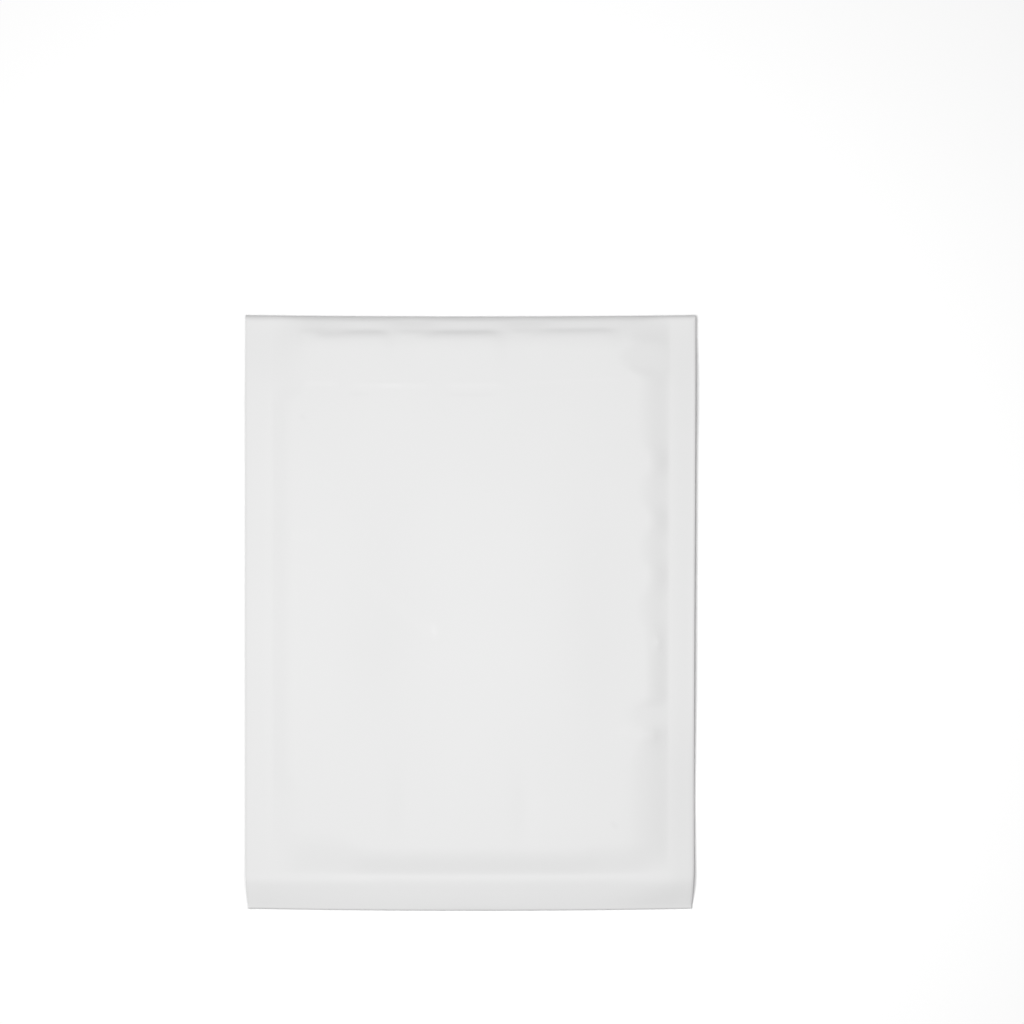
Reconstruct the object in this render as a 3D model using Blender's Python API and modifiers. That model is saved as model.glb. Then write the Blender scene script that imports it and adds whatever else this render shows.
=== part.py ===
"""Padded mailing envelope, empty, with its flap folded shut beneath it, lying front face up.

The cover is one sheet of white paper: flap, top fold, front panel, bottom fold and back panel,
with the panels pressed together along both sides. A pouch of bubble film lines it. The flap
carries a strip of adhesive under its release liner, and a film tape crosses the back panel.
X runs across the envelope, Y from its bottom edge to its top fold, Z up from the table.
"""

import math

import bmesh
import bpy
from mathutils import Matrix, Vector

MM = 0.001
SAME_PLACE = 0.01 * MM

# Outside size and stock
WIDTH = 170.0 * MM
LENGTH = 225.0 * MM
PAPER = 0.3 * MM
CLEARANCE = 0.3 * MM

# Padding: how thick it lies, how much it swells, and the pressed seams around it
PAD_THICKNESS = 7.6 * MM
PAD_CROWN = 0.5 * MM
PAD_RISE_OVER_FLAP = 0.7 * MM
SIDE_SEAM = 9.6 * MM
SIDE_SLOPE = 10.0 * MM
BOTTOM_SEAM = 13.4 * MM
BOTTOM_SLOPE = 11.0 * MM
TOP_SLOPE = 13.0 * MM
TOP_STEEPNESS = 1.9
PRESSED_FILM = 0.4 * MM
SEAM_LEVEL = 4.6 * MM
SIDE_DROOP = 0.6 * MM
BOTTOM_DROOP = 3.75 * MM
DROOP_START = 0.3

# Flap: a full-width band, small ledges with a round inner corner, and a tapered tip
FLAP_LENGTH = 47.5 * MM
FLAP_BAND = 29.0 * MM
FLAP_LEDGE = 3.4 * MM
FLAP_CORNER_RADIUS = 6.5 * MM
FLAP_TIP_WIDTH = 145.5 * MM
FOLD_RADIUS = 2.0 * MM
RAMP_LEAD = 13.0 * MM

# Strips between the flap and the back panel
ADHESIVE_THICKNESS = 0.2 * MM
ADHESIVE_WIDTH = 19.0 * MM
ADHESIVE_END_MARGIN = 4.0 * MM
LINER_THICKNESS = 0.2 * MM
LINER_WIDTH = 25.0 * MM
LINER_END_MARGIN = 0.8 * MM
LINER_FROM_FOLD = 3.5 * MM
TAPE_THICKNESS = 0.2 * MM
TAPE_WIDTH = 18.1 * MM
TAPE_FROM_MOUTH = 3.4 * MM

# Bubble film
FILM_THICKNESS = 0.4 * MM
POCKET_GAP = 0.8 * MM
LINING_FROM_FOLD = 9.5 * MM
POCKET_WALL = 1.5 * MM
BUBBLES_ACROSS = 9
BUBBLE_SPACING = 1.8 * MM
BUBBLE_SIDE_RUN = 1.2 * MM
FILM_RAMP_LENGTH = 65.0 * MM

# Small departures of the outline from a true rectangle
TOP_DIP = 0.5 * MM
BOTTOM_BOW = 1.0 * MM
CORNER_TAPER = 1.0 * MM
CORNER_TAPER_LENGTH = 18.0 * MM
WARP_REACH = 60.0 * MM

# Facets along each stretch
ARC_FACETS = 6
HEM_FACETS = 4
SLOPE_FACETS = 4
SEAM_FACETS = 2
PAD_COLUMNS = 4
PAD_ROWS = 6
RAMP_ROWS = 5
OVER_FLAP_ROWS = 3
FLAP_ROWS = 2
SHARP_ANGLE = math.radians(40.0)

# Values that follow from the sizes above
HALF_WIDTH = WIDTH / 2.0
TOP = LENGTH / 2.0
BOTTOM = -LENGTH / 2.0
SEAM_THICKNESS = 2.0 * (PAPER + CLEARANCE) + PRESSED_FILM
STACK = PAPER + ADHESIVE_THICKNESS + LINER_THICKNESS + TAPE_THICKNESS + 4.0 * CLEARANCE
FOLD_Y = TOP - FOLD_RADIUS
HEM_Y = BOTTOM + SEAM_THICKNESS / 2.0
FLAP_TIP_Y = TOP - FLAP_LENGTH
LINER_TOP_Y = TOP - LINER_FROM_FOLD
LINER_LOW_Y = LINER_TOP_Y - LINER_WIDTH
TAPE_TOP_Y = FOLD_Y - TAPE_FROM_MOUTH
RAMP_START_Y = FLAP_TIP_Y - RAMP_LEAD
RAMP_END_Y = LINER_LOW_Y - LINER_THICKNESS
SEAM_LEVEL_AT_FOLD = 2.0 * FOLD_RADIUS - SEAM_THICKNESS / 2.0
PAD_HALF_WIDTH = HALF_WIDTH - SIDE_SEAM - SIDE_SLOPE
PAD_LOW_Y = BOTTOM + BOTTOM_SEAM + BOTTOM_SLOPE
PAD_HIGH_Y = TOP - TOP_SLOPE
LINING_TOP_Y = TOP - LINING_FROM_FOLD
FILM_HALF = POCKET_GAP / 2.0 + FILM_THICKNESS

WHITE_PAPER = (0.815, 0.815, 0.815)
CLEAR_FILM = (0.86, 0.88, 0.90)
AMBER_ADHESIVE = (0.78, 0.72, 0.52)
SILICONE_PAPER = (0.74, 0.75, 0.76)
GLOSSY_TAPE = (0.80, 0.81, 0.82)


def ease(t):
    """Rise from 0 to 1 with level ends, for t from 0 to 1."""
    t = min(max(t, 0.0), 1.0)
    return t * t * (3.0 - 2.0 * t)


def pillow(t):
    """Rise from 0 to 1, steep near its foot and ever gentler towards its top."""
    t = min(max(t, 0.0), 1.0)
    return 2.5 * t**1.5 - 1.5 * t**2.5


def droop(t):
    """Fall from 0 to 1 that bends down over a short start and then runs straight."""
    t = min(max(t, 0.0), 1.0)
    bend = t * t / (2.0 * DROOP_START) if t < DROOP_START else t - DROOP_START / 2.0
    return bend / (1.0 - DROOP_START / 2.0)


def mix(a, b, t):
    """Blend from a to b."""
    return a + (b - a) * t


def stations(start, end, count):
    """The points after start, up to and with end, that cut a stretch into equal facets."""
    return [mix(start, end, i / count) for i in range(1, count + 1)]


def over_flap(y):
    """0 where the back panel rests on the table, 1 where the folded flap lies beneath it."""
    return ease((y - RAMP_START_Y) / (RAMP_END_Y - RAMP_START_Y))


def near_fold(y):
    """0 up to where the flap's liner begins, 1 at the top fold."""
    return ease((y - RAMP_END_Y) / (FOLD_Y - RAMP_END_Y))


def back_fullness(x, y):
    """0 in the pressed side and bottom seams, 1 over the padding."""
    side = pillow((HALF_WIDTH - SIDE_SEAM - abs(x)) / SIDE_SLOPE)
    bottom = pillow((y - BOTTOM - BOTTOM_SEAM) / BOTTOM_SLOPE)
    return side * bottom


def front_fullness(x, y):
    """As back_fullness, and the front panel also rises from the top fold, where it is steepest."""
    left = min(max(1.0 - (TOP - y) / TOP_SLOPE, 0.0), 1.0)
    return back_fullness(x, y) * (1.0 - left**TOP_STEEPNESS)


def seam_droop(x, y):
    """How far the pressed seams hang down towards their free edges, except at the top fold."""
    side = droop(1.0 - (HALF_WIDTH - abs(x)) / SIDE_SEAM) * (1.0 - near_fold(y))
    end = droop(1.0 - (y - BOTTOM) / BOTTOM_SEAM)
    return mix(SIDE_DROOP * side, BOTTOM_DROOP, end)


def seam_middle(x, y):
    """Height of the middle of the pressed seams, which come down to meet the top fold."""
    level = SEAM_LEVEL + PAD_RISE_OVER_FLAP * over_flap(y)
    return mix(level, SEAM_LEVEL_AT_FOLD, near_fold(y)) - seam_droop(x, y)


def front_level(x, y):
    """Height of the outer face of the front panel."""
    across = max(0.0, 1.0 - (x / PAD_HALF_WIDTH) ** 2)
    along = max(0.0, 1.0 - (y / TOP) ** 2)
    pad = PAD_THICKNESS + PAD_RISE_OVER_FLAP * over_flap(y) + PAD_CROWN * across * along
    return mix(seam_middle(x, y) + SEAM_THICKNESS / 2.0, pad, front_fullness(x, y))


def back_level(x, y):
    """Height of the outer face of the back panel, which is flat on the table below the flap."""
    return mix(seam_middle(x, y) - SEAM_THICKNESS / 2.0, STACK * over_flap(y), back_fullness(x, y))


def film_middle(y):
    """Height of the middle of the closed pocket in the bubble film."""
    raised = (PAD_THICKNESS + PAD_RISE_OVER_FLAP + STACK) / 2.0
    return mix(PAD_THICKNESS / 2.0, raised, ease(1.0 - (LINING_TOP_Y - y) / FILM_RAMP_LENGTH))


def outline_point(x, y, z):
    """Move a point from the true rectangle to the envelope's slightly uneven outline."""
    taper = max(0.0, 1.0 - (y - BOTTOM) / CORNER_TAPER_LENGTH)
    half = HALF_WIDTH - CORNER_TAPER * min(taper, 1.0) ** 2
    share = (x / HALF_WIDTH) ** 2
    dip = TOP_DIP * (1.0 - share) * ease(1.0 - (TOP - y) / WARP_REACH)
    bow = BOTTOM_BOW * share * ease(1.0 - (y - BOTTOM) / WARP_REACH)
    return Vector((x * half / HALF_WIDTH, y - dip + bow, z))


def material(name, colour, roughness, transmission=0.0):
    """A Principled material."""
    mat = bpy.data.materials.new(name)
    mat.use_nodes = True
    shader = mat.node_tree.nodes["Principled BSDF"]
    shader.inputs["Base Color"].default_value = (*colour, 1.0)
    shader.inputs["Roughness"].default_value = roughness
    shader.inputs["Metallic"].default_value = 0.0
    shader.inputs["Transmission Weight"].default_value = transmission
    mat.diffuse_color = (*colour, 1.0)
    return mat


def collection(name):
    """A new collection in the scene."""
    group = bpy.data.collections.new(name)
    bpy.context.scene.collection.children.link(group)
    return group


def add_object(name, bm, group, mat=None):
    """Turn a finished bmesh into a named object, smooth except at its sharp edges."""
    mesh = bpy.data.meshes.new(name)
    bm.to_mesh(mesh)
    bm.free()
    mesh.shade_smooth()
    mesh.set_sharp_from_angle(angle=SHARP_ANGLE)
    obj = bpy.data.objects.new(name, mesh)
    group.objects.link(obj)
    if mat is not None:
        mesh.materials.append(mat)
    return obj


def add_solidify(obj, thickness, offset):
    """Give an open sheet its thickness."""
    solidify = obj.modifiers.new("Thickness", "SOLIDIFY")
    solidify.thickness = thickness
    solidify.offset = offset
    solidify.use_even_offset = True


def add_mirror(obj):
    """Complete a half that is open at the middle plane."""
    mirror = obj.modifiers.new("Other half", "MIRROR")
    mirror.merge_threshold = SAME_PLACE


def add_cut(obj, cutter):
    """Cut one solid by another."""
    cut = obj.modifiers.new(cutter.name, "BOOLEAN")
    cut.operation = "DIFFERENCE"
    cut.object = cutter


def hide_cutter(cutter):
    """Keep a cutter out of the model itself."""
    cutter.hide_render = True
    cutter.display_type = "WIRE"


def mapped_grid(columns, rows, place):
    """A grid with one line of points for each column and row, each moved by place(column, row).

    Returns the bmesh and its points as a table, grid[row][column].
    """
    bm = bmesh.new()
    spans = (len(columns) - 1, len(rows) - 1)
    made = bmesh.ops.create_grid(bm, x_segments=spans[0], y_segments=spans[1], size=1.0)
    grid = [[None] * len(columns) for _ in rows]
    for vert in made["verts"]:
        i = round((vert.co.x + 1.0) / 2.0 * spans[0])
        j = round((vert.co.y + 1.0) / 2.0 * spans[1])
        grid[j][i] = vert
    for j, row in enumerate(rows):
        for i, column in enumerate(columns):
            grid[j][i].co = place(column, row)
    return bm, grid


def half_columns():
    """X of the cover's lines of points, from the middle to the right edge."""
    foot = HALF_WIDTH - SIDE_SEAM
    return (
        [0.0]
        + stations(0.0, PAD_HALF_WIDTH, PAD_COLUMNS)
        + stations(PAD_HALF_WIDTH, foot, SLOPE_FACETS)
        + stations(foot, HALF_WIDTH, SEAM_FACETS)
    )


def panel_rows():
    """Y of a panel's lines of points, from the top fold down to the bottom fold."""
    foot = BOTTOM + BOTTOM_SEAM
    return (
        [FOLD_Y]
        + stations(FOLD_Y, PAD_HIGH_Y, SLOPE_FACETS)
        + stations(PAD_HIGH_Y, RAMP_END_Y, OVER_FLAP_ROWS)
        + stations(RAMP_END_Y, RAMP_START_Y, RAMP_ROWS)
        + stations(RAMP_START_Y, PAD_LOW_Y, PAD_ROWS)
        + stations(PAD_LOW_Y, foot, SLOPE_FACETS)
        + stations(foot, HEM_Y, SEAM_FACETS)
    )


def fold_point(x, row):
    """Where a point of the flat sheet lies once the sheet is folded."""
    stretch, value = row
    if stretch == "flap":
        y, z = value, 0.0
    elif stretch == "top fold":
        y = FOLD_Y + FOLD_RADIUS * math.cos(value)
        z = FOLD_RADIUS * (1.0 + math.sin(value))
        if value > 0.0:
            z += front_level(x, y) - 2.0 * FOLD_RADIUS
    elif stretch == "front":
        y, z = value, front_level(x, value)
    elif stretch == "bottom fold":
        radius = SEAM_THICKNESS / 2.0
        y = HEM_Y - radius * math.sin(value)
        z = seam_middle(x, HEM_Y) + radius * math.cos(value)
    else:
        y, z = value, back_level(x, value)
    if stretch in ("flap", "top fold"):
        return outline_point(x, max(y, FOLD_Y), z) + Vector((0.0, y - max(y, FOLD_Y), 0.0))
    return outline_point(x, y, z)


def close_side(bm, side, front, back, hem):
    """Join the front and back panels along one side edge, as the pressed seam does."""
    for (front_a, back_a), (front_b, back_b) in zip(zip(front, back), zip(front[1:], back[1:])):
        bm.faces.new((side[front_a], side[front_b], side[back_b], side[back_a]))
    bm.faces.new([side[j] for j in hem])


def flap_corner_outline():
    """The waste beyond one side of the flap's tip: ledge, round inner corner and slanted side."""
    ledge_y = TOP - FLAP_BAND
    slant = Vector((FLAP_TIP_WIDTH / 2.0, FLAP_TIP_Y))
    ledge_end = Vector((HALF_WIDTH - FLAP_LEDGE, ledge_y))
    centre = ledge_end - Vector((0.0, FLAP_CORNER_RADIUS))
    reach = slant - centre
    turn = math.atan2(reach.y, reach.x) - math.acos(FLAP_CORNER_RADIUS / reach.length)
    end = turn % (2.0 * math.pi)
    arc = [mix(math.pi / 2.0, end, i / ARC_FACETS) for i in range(ARC_FACETS + 1)]
    corner = [centre + FLAP_CORNER_RADIUS * Vector((math.cos(a), math.sin(a))) for a in arc]
    past = slant + (slant - corner[-1]).normalized() * FOLD_RADIUS
    outer_x = HALF_WIDTH + SIDE_SEAM
    return [Vector((outer_x, ledge_y))] + corner + [past, Vector((outer_x, past.y))]


def flap_corner_cutter(group):
    """Cutter for both corners of the flap's tip, which reaches no further up than the flap."""
    bm = bmesh.new()
    outline = [bm.verts.new((p.x, p.y, -PAPER)) for p in flap_corner_outline()]
    waste = bm.faces.new(outline)
    raised = bmesh.ops.extrude_face_region(bm, geom=[waste])
    lifted = [part for part in raised["geom"] if isinstance(part, bmesh.types.BMVert)]
    bmesh.ops.translate(bm, verts=lifted, vec=(0.0, 0.0, 2.0 * PAPER + CLEARANCE / 2.0))
    bmesh.ops.recalc_face_normals(bm, faces=bm.faces)
    cutter = add_object("flap_corner_cutter", bm, group)
    add_mirror(cutter)
    hide_cutter(cutter)
    return cutter


def make_cover(group, cutters):
    """The folded paper sheet."""
    panel = panel_rows()
    rows = [("flap", y) for y in [FLAP_TIP_Y] + stations(FLAP_TIP_Y, FOLD_Y, FLAP_ROWS)[:-1]]
    rows += [("top fold", mix(-math.pi / 2.0, math.pi / 2.0, i / ARC_FACETS)) for i in range(ARC_FACETS)]
    first_front = len(rows)
    rows += [("front", y) for y in panel]
    last_front = len(rows) - 1
    rows += [("bottom fold", math.pi * i / HEM_FACETS) for i in range(1, HEM_FACETS)]
    first_back = len(rows)
    rows += [("back", y) for y in reversed(panel)]
    bm, grid = mapped_grid(half_columns(), rows, fold_point)
    bmesh.ops.reverse_faces(bm, faces=bm.faces)
    side = [line[-1] for line in grid]
    front = list(range(first_front, last_front + 1))
    back = list(range(len(rows) - 1, first_back - 1, -1))
    close_side(bm, side, front, back, range(last_front, first_back + 1))
    cover = add_object("paper_cover", bm, group, material("white_paper", WHITE_PAPER, 0.72))
    add_mirror(cover)
    add_solidify(cover, PAPER, -1.0)
    add_cut(cover, flap_corner_cutter(cutters))
    return cover


def strip(name, half_width, low_y, high_y, level, thickness, group, mat):
    """A flat strip that lies over the flap, its lower face at the given level."""
    bm, _ = mapped_grid(
        (-half_width, half_width), (low_y, high_y), lambda x, y: Vector((x, y, level))
    )
    obj = add_object(name, bm, group, mat)
    add_solidify(obj, thickness, 1.0)
    return obj


def make_strips(group):
    """Adhesive on the flap, and the release liner over it."""
    adhesive_level = PAPER + CLEARANCE
    liner_level = adhesive_level + ADHESIVE_THICKNESS + CLEARANCE
    middle_y = LINER_TOP_Y - LINER_WIDTH / 2.0
    strip(
        "adhesive_strip",
        HALF_WIDTH - ADHESIVE_END_MARGIN,
        middle_y - ADHESIVE_WIDTH / 2.0,
        middle_y + ADHESIVE_WIDTH / 2.0,
        adhesive_level,
        ADHESIVE_THICKNESS,
        group,
        material("adhesive", AMBER_ADHESIVE, 0.25),
    )
    strip(
        "release_liner",
        HALF_WIDTH - LINER_END_MARGIN,
        LINER_LOW_Y,
        LINER_TOP_Y,
        liner_level,
        LINER_THICKNESS,
        group,
        material("silicone_paper", SILICONE_PAPER, 0.4),
    )


def make_tape(group):
    """The film tape across the back panel, which follows the panel's shape."""
    half = half_columns()
    columns = [-x for x in reversed(half[1:])] + half
    rows = [TAPE_TOP_Y - TAPE_WIDTH] + stations(TAPE_TOP_Y - TAPE_WIDTH, TAPE_TOP_Y, SEAM_FACETS)
    bm, _ = mapped_grid(
        columns, rows, lambda x, y: outline_point(x, y, back_level(x, y) - CLEARANCE)
    )
    tape = add_object("reopen_tape", bm, group, material("glossy_tape", GLOSSY_TAPE, 0.12))
    add_solidify(tape, TAPE_THICKNESS, -1.0)


def film_cells(bm, pitch):
    """Six-sided cells, one for each bubble, that tile the padded area and a little more."""
    row_step = pitch * math.sqrt(3.0) / 2.0
    radius = pitch / math.sqrt(3.0)
    rows = math.ceil((LINING_TOP_Y - PAD_LOW_Y) / row_step) + 2
    across = BUBBLES_ACROSS // 2 + 1
    for j in range(rows):
        shift = pitch / 2.0 if j % 2 else 0.0
        for i in range(-across, across + 1):
            centre = Vector((i * pitch + shift, PAD_LOW_Y + radius + (j - 1) * row_step, 0.0))
            bmesh.ops.create_circle(
                bm,
                cap_ends=True,
                segments=6,
                radius=radius,
                matrix=Matrix.Translation(centre),
            )
    bmesh.ops.remove_doubles(bm, verts=bm.verts, dist=SAME_PLACE)


def trim_film(bm):
    """Trim the tiled cells to the padded area."""
    borders = (
        ((PAD_HALF_WIDTH, 0.0, 0.0), (1.0, 0.0, 0.0)),
        ((-PAD_HALF_WIDTH, 0.0, 0.0), (-1.0, 0.0, 0.0)),
        ((0.0, PAD_LOW_Y, 0.0), (0.0, -1.0, 0.0)),
        ((0.0, LINING_TOP_Y, 0.0), (0.0, 1.0, 0.0)),
    )
    for point, outward in borders:
        bmesh.ops.bisect_plane(
            bm,
            geom=bm.verts[:] + bm.edges[:] + bm.faces[:],
            dist=SAME_PLACE,
            plane_co=point,
            plane_no=outward,
            clear_outer=True,
        )


def raise_bubbles(bm, pitch):
    """Inset each whole cell twice, and return the points of the bubbles' caps."""
    whole = pitch * pitch * math.sqrt(3.0) / 2.0
    cells = [face for face in bm.faces if face.calc_area() > 0.99 * whole]
    bmesh.ops.inset_individual(bm, faces=cells, thickness=BUBBLE_SPACING / 2.0)
    bmesh.ops.inset_individual(bm, faces=cells, thickness=BUBBLE_SIDE_RUN)
    return {vert for cell in cells for vert in cell.verts}


def spread_rim(bm, half_width, low_y, start_half_width, start_low_y):
    """Extrude the film's side and bottom edges outwards to a larger rectangle."""
    rim = [
        edge
        for edge in bm.edges
        if edge.is_boundary and min(v.co.y for v in edge.verts) < LINING_TOP_Y - SAME_PLACE
    ]
    made = bmesh.ops.extrude_edge_only(bm, edges=rim)
    wider = half_width / start_half_width
    longer = (LINING_TOP_Y - low_y) / (LINING_TOP_Y - start_low_y)
    points = [part for part in made["geom"] if isinstance(part, bmesh.types.BMVert)]
    for vert in points:
        vert.co.x *= wider
        vert.co.y = LINING_TOP_Y - (LINING_TOP_Y - vert.co.y) * longer


def cut_rim(bm, foot_x, foot_y):
    """Cut the film's rim along the lines where the facets of the cover's seams meet."""
    lines_x = [foot_x] + stations(foot_x, HALF_WIDTH, SEAM_FACETS)[:-1]
    lines_y = [foot_y] + stations(foot_y, HEM_Y, SEAM_FACETS)[:-1]
    planes = [((side * x, 0.0, 0.0), (1.0, 0.0, 0.0)) for x in lines_x for side in (-1, 1)]
    planes += [((0.0, y, 0.0), (0.0, 1.0, 0.0)) for y in lines_y]
    for point, across in planes:
        bmesh.ops.bisect_plane(
            bm,
            geom=bm.verts[:] + bm.edges[:] + bm.faces[:],
            dist=SAME_PLACE,
            plane_co=point,
            plane_no=across,
        )


def film_layer(side):
    """One wall of the pouch: side is 1 for the front wall and -1 for the back wall."""
    bm = bmesh.new()
    pitch = 2.0 * PAD_HALF_WIDTH / BUBBLES_ACROSS
    film_cells(bm, pitch)
    trim_film(bm)
    caps = raise_bubbles(bm, pitch)
    foot = (HALF_WIDTH - SIDE_SEAM, BOTTOM + BOTTOM_SEAM)
    edge = (HALF_WIDTH - PAPER - CLEARANCE, HEM_Y)
    spread_rim(bm, *foot, PAD_HALF_WIDTH, PAD_LOW_Y)
    spread_rim(bm, *edge, *foot)
    cut_rim(bm, *foot)
    level = front_level if side > 0 else back_level
    for vert in bm.verts:
        x, y, _ = vert.co
        if vert in caps:
            z = level(x, y) - side * (PAPER + CLEARANCE)
        elif abs(x) > foot[0] - SAME_PLACE or y < foot[1] + SAME_PLACE:
            z = seam_middle(x, y) + side * PRESSED_FILM / 2.0
        else:
            z = film_middle(y) + side * FILM_HALF
        vert.co = outline_point(x, y, z)
    if side < 0:
        bmesh.ops.reverse_faces(bm, faces=bm.faces)
    wall = bpy.data.meshes.new("film_wall")
    bm.to_mesh(wall)
    bm.free()
    return wall


def pocket_cutter(group):
    """The closed pocket between the two walls of film, open at the mouth."""
    half = PAD_HALF_WIDTH - POCKET_WALL
    low_y = PAD_LOW_Y + POCKET_WALL
    rows = [low_y] + stations(low_y, LINING_TOP_Y, 3 * PAD_ROWS) + [LINING_TOP_Y + POCKET_WALL]
    columns = [-half] + stations(-half, half, PAD_COLUMNS)
    bm, _ = mapped_grid(columns, rows, lambda x, y: outline_point(x, y, film_middle(y)))
    cutter = add_object("pocket_cutter", bm, group)
    add_solidify(cutter, POCKET_GAP, 0.0)
    hide_cutter(cutter)
    return cutter


def make_lining(group, cutters):
    """The pouch of bubble film: smooth inside, bubbles against the paper, pressed thin at the seams."""
    bm = bmesh.new()
    for side in (1, -1):
        wall = film_layer(side)
        bm.from_mesh(wall)
        bpy.data.meshes.remove(wall)
    bmesh.ops.bridge_loops(bm, edges=[edge for edge in bm.edges if edge.is_boundary])
    bmesh.ops.recalc_face_normals(bm, faces=bm.faces)
    film = material("bubble_film", CLEAR_FILM, 0.2, transmission=0.6)
    lining = add_object("bubble_lining", bm, group, film)
    add_cut(lining, pocket_cutter(cutters))
    return lining


def main():
    """Clear the scene and build the envelope."""
    for obj in list(bpy.data.objects):
        bpy.data.objects.remove(obj, do_unlink=True)
    envelope = collection("padded_envelope")
    cutters = collection("cutters")
    make_cover(envelope, cutters)
    make_lining(envelope, cutters)
    make_strips(envelope)
    make_tape(envelope)


main()
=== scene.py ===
"""Dresses an empty padded envelope that lies front face up, its flap folded shut beneath it.

The fixed frame gives every size and place. The paper cover and the bubble pouch are modelled again here
with their creases, puckers and bubbles, the strips keep their meshes, and every piece gets its finish.
Lengths are in millimetres where a name or its note says so, and in metres everywhere else.
"""

from __future__ import annotations

import logging
import math
from dataclasses import dataclass
from enum import Enum

import bmesh
import bpy
import numpy as np
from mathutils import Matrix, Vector


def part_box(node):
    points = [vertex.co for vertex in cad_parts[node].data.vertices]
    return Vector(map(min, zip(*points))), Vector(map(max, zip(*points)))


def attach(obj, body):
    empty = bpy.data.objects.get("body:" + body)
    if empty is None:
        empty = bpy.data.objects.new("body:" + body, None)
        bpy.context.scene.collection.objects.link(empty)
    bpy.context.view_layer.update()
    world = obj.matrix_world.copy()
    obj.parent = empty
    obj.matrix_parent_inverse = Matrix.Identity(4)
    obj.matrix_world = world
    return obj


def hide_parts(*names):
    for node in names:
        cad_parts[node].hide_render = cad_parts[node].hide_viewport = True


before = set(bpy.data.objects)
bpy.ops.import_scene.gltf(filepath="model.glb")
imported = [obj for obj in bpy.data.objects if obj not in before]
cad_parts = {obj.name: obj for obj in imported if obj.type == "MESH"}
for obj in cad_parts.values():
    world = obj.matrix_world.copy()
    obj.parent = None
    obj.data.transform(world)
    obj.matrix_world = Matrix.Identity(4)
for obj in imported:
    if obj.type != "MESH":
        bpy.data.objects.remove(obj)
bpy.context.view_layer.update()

LOG = logging.getLogger("padded_envelope")
MM = 0.001
BODY = "root"
SMOOTH_ANGLE = math.radians(42.0)
WHITE = (1.0, 1.0, 1.0, 1.0)
GRAIN_TURN = (0.0, 0.0, math.radians(8.0))
GRAIN_SCALE = (900.0, 2600.0, 1500.0)

Array = np.ndarray
Pair = tuple[float, float]
Colour = tuple[float, float, float]
Socket = bpy.types.NodeSocket
Object = bpy.types.Object
Material = bpy.types.Material


def ease(t: Array) -> Array:
    """Rise from 0 to 1 as t does, with level ends."""
    t = np.clip(t, 0.0, 1.0)
    return t * t * (3.0 - 2.0 * t)


def pillow(t: Array) -> Array:
    """Rise from 0 to 1 as t does, steep near the foot and ever gentler towards the top."""
    t = np.clip(t, 0.0, 1.0)
    return 2.5 * t**1.5 - 1.5 * t**2.5


def droop(t: Array, start: float = 0.3) -> Array:
    """Fall from 0 to 1 that bends down over a short start and then runs straight.

    Args:
        t: Position along the fall, 0 to 1, held within those ends.
        start: Share of the fall that the bend takes.

    Returns:
        The fallen share, of the same shape as t.
    """
    t = np.clip(t, 0.0, 1.0)
    bend = np.where(t < start, t * t / (2.0 * start), t - start / 2.0)
    return bend / (1.0 - start / 2.0)


def mix(a: Array, b: Array, t: Array) -> Array:
    """Blend from a to b by the share t."""
    return a + (b - a) * t


def run(start: float, end: float, step: float) -> Array:
    """Even points after start, up to and with end, no further apart than step."""
    count = max(1, math.ceil(abs(end - start) / step))
    return start + (end - start) * np.arange(1, count + 1) / count


class Stretch(Enum):
    """The stretches of the folded sheet, in order from the flap's tip to the mouth."""

    FLAP = 0
    TOP_FOLD = 1
    FRONT = 2
    BOTTOM_FOLD = 3
    BACK = 4


class CreaseKind(Enum):
    """How the paper changes height at a crease."""

    RIDGE = "ridge"
    STEP = "step"


@dataclass(frozen=True)
class Swell:
    """A soft swelling of the paper, or a hollow where its height is negative.

    Args:
        x: Place across the envelope, in millimetres.
        y: Place along the envelope, in millimetres.
        reach_x: Half length across, in millimetres.
        reach_y: Half length along, in millimetres.
        height: Height in millimetres.
    """

    x: float
    y: float
    reach_x: float
    reach_y: float
    height: float

    def raise_by(self, x: Array, y: Array) -> Array:
        """Height in metres that this swelling adds at each point."""
        across = (x - self.x * MM) / (self.reach_x * MM)
        along = (y - self.y * MM) / (self.reach_y * MM)
        return self.height * MM * np.exp(-(across**2) - along**2)


@dataclass(frozen=True)
class Crease:
    """A pressed line in the paper, straight from one end to the other.

    Args:
        start: One end, in millimetres.
        end: The other end, in millimetres.
        width: Half width of the line, in millimetres.
        height: Height of the ridge or step, in millimetres.
        kind: A ridge, or a step that is higher on the left of its direction.
    """

    start: Pair
    end: Pair
    width: float
    height: float
    kind: CreaseKind = CreaseKind.RIDGE

    def raise_by(self, x: Array, y: Array) -> Array:
        """Height in metres that this crease adds at each point.

        Args:
            x: Places across.
            y: Places along.

        Returns:
            The added heights.
        """
        start, end = Vector(self.start) * MM, Vector(self.end) * MM
        line = (end - start).normalized()
        length = (end - start).length
        dx, dy = x - start.x, y - start.y
        along = dx * line.x + dy * line.y
        aside = (dy * line.x - dx * line.y) / (self.width * MM)
        fade = 0.18 * length
        window = ease(along / fade) * ease((length - along) / fade)
        if self.kind is CreaseKind.RIDGE:
            return self.height * MM * np.exp(-(aside**2)) * window
        settle = np.exp(-((aside / 6.0) ** 2))
        return 0.5 * self.height * MM * np.tanh(aside) * settle * window


class Edge(Enum):
    """The padding's edges that have bays."""

    LEFT = "left"
    RIGHT = "right"
    BOTTOM = "bottom"


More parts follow.
